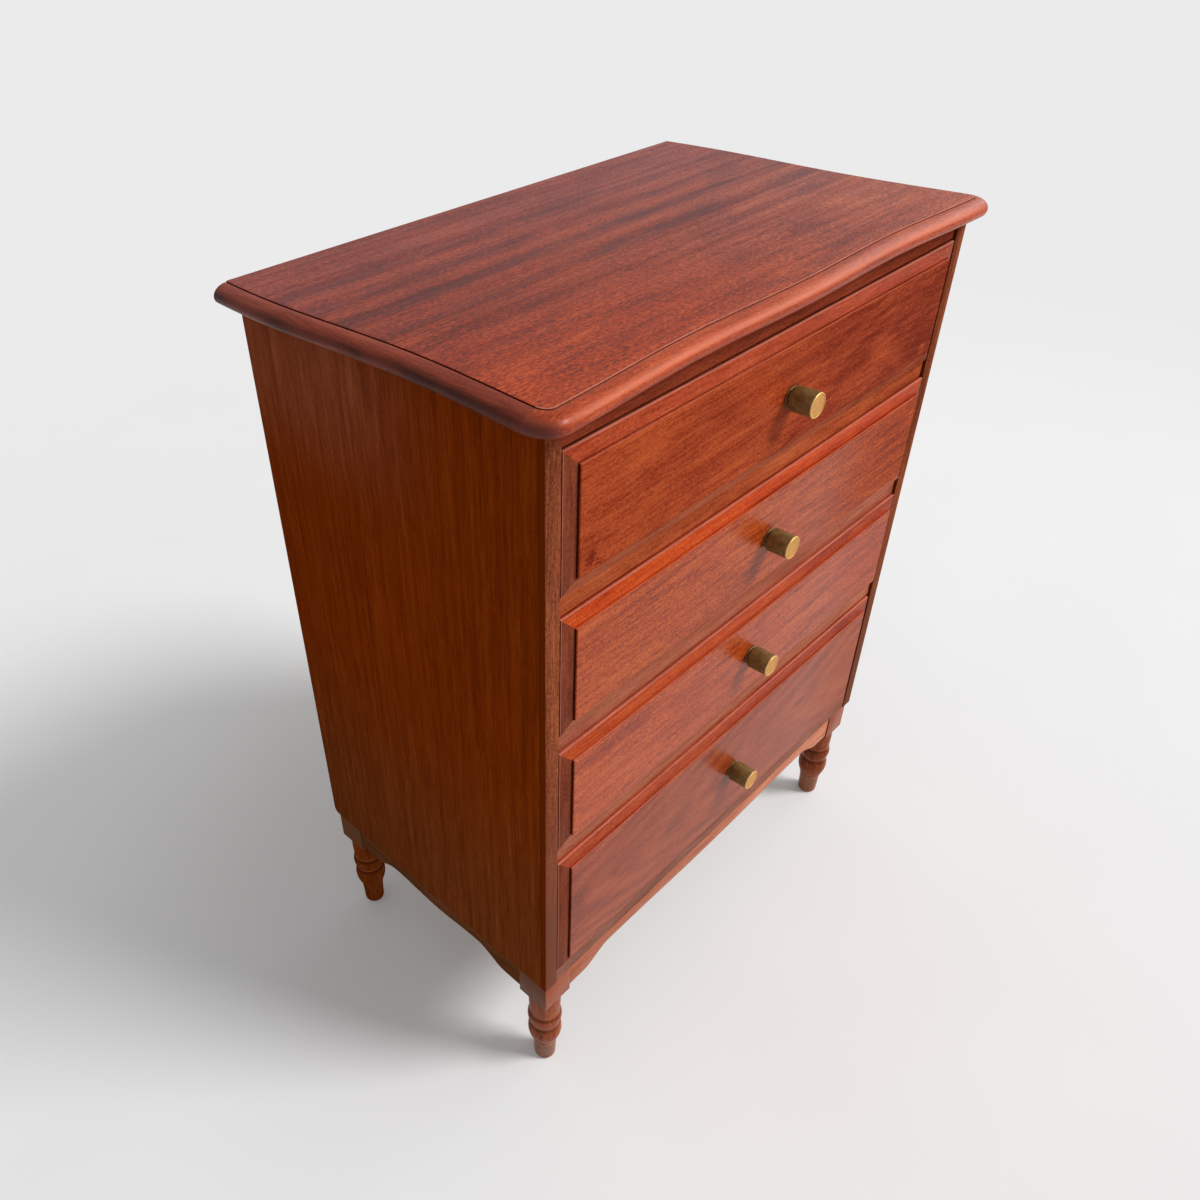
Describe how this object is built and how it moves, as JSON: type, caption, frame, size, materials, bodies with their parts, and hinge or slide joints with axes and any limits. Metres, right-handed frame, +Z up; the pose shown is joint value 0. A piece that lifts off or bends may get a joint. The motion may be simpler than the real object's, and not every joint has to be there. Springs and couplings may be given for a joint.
{
  "type": "tallboy",
  "caption": "Tall free-standing wooden chest with full-width sliding drawers, fielded fronts, round brass knobs, a moulded wavy top and turned legs, for storing clothes.",
  "frame": {"origin": "on the floor, at the middle of the overall box", "axes": "+Z up, -Y out of the drawer fronts, +X to the right of someone who faces the back"},
  "size_m": [0.7828, 0.4878, 1.0116],
  "materials": {
    "top_wood": "figured mahogany veneer, lacquered",
    "side_wood": "dark mahogany, lacquered",
    "front_wood": "red-brown mahogany, lacquered",
    "frame_wood": "mahogany edge, lacquered",
    "leg_wood": "turned mahogany, lacquered",
    "box_wood": "plain pale hardwood",
    "back_board": "thin unpolished board",
    "knob_brass": "aged brass, lined side and brushed face",
    "screw_steel": "plain steel"
  },
  "bodies": {
    "carcass": {"top_board": "top_wood", "left_side_panel": "side_wood", "right_side_panel": "side_wood", "left_lipping": "frame_wood", "right_lipping": "frame_wood", "back_panel": "back_board", "upper_back_rail": "box_wood", "lower_back_rail": "box_wood", "left_top_cleat": "box_wood", "right_top_cleat": "box_wood", "front_left_leg": "leg_wood", "front_right_leg": "leg_wood", "back_left_leg": "leg_wood", "back_right_leg": "leg_wood", "front_apron": "front_wood", "left_apron": "side_wood", "right_apron": "side_wood", "back_apron": "box_wood", "top_rail": "frame_wood", "rail_under_drawer_1": "frame_wood", "rail_under_drawer_2": "frame_wood", "rail_under_drawer_3": "frame_wood", "bottom_rail": "frame_wood", "left_runner_1": "box_wood", "right_runner_1": "box_wood", "left_runner_2": "box_wood", "right_runner_2": "box_wood", "left_runner_3": "box_wood", "right_runner_3": "box_wood", "left_runner_4": "box_wood", "right_runner_4": "box_wood"},
    "drawer_1": {"drawer_1_front": "front_wood", "drawer_1_left_side": "box_wood", "drawer_1_right_side": "box_wood", "drawer_1_back": "box_wood", "drawer_1_bottom": "back_board", "drawer_1_knob": "knob_brass", "drawer_1_knob_screw": "screw_steel"},
    "drawer_2": {"drawer_2_front": "front_wood", "drawer_2_left_side": "box_wood", "drawer_2_right_side": "box_wood", "drawer_2_back": "box_wood", "drawer_2_bottom": "back_board", "drawer_2_knob": "knob_brass", "drawer_2_knob_screw": "screw_steel"},
    "drawer_3": {"drawer_3_front": "front_wood", "drawer_3_left_side": "box_wood", "drawer_3_right_side": "box_wood", "drawer_3_back": "box_wood", "drawer_3_bottom": "back_board", "drawer_3_knob": "knob_brass", "drawer_3_knob_screw": "screw_steel"},
    "drawer_4": {"drawer_4_front": "front_wood", "drawer_4_left_side": "box_wood", "drawer_4_right_side": "box_wood", "drawer_4_back": "box_wood", "drawer_4_bottom": "back_board", "drawer_4_knob": "knob_brass", "drawer_4_knob_screw": "screw_steel"}
  },
  "joints": [
    {"name": "drawer_1_slide", "type": "slide", "parent": "carcass", "child": "drawer_1", "axis": [0, -1, 0], "range_m": [0, 0.3]},
    {"name": "drawer_2_slide", "type": "slide", "parent": "carcass", "child": "drawer_2", "axis": [0, -1, 0], "range_m": [0, 0.3]},
    {"name": "drawer_3_slide", "type": "slide", "parent": "carcass", "child": "drawer_3", "axis": [0, -1, 0], "range_m": [0, 0.3]},
    {"name": "drawer_4_slide", "type": "slide", "parent": "carcass", "child": "drawer_4", "axis": [0, -1, 0], "range_m": [0, 0.3]}
  ]
}
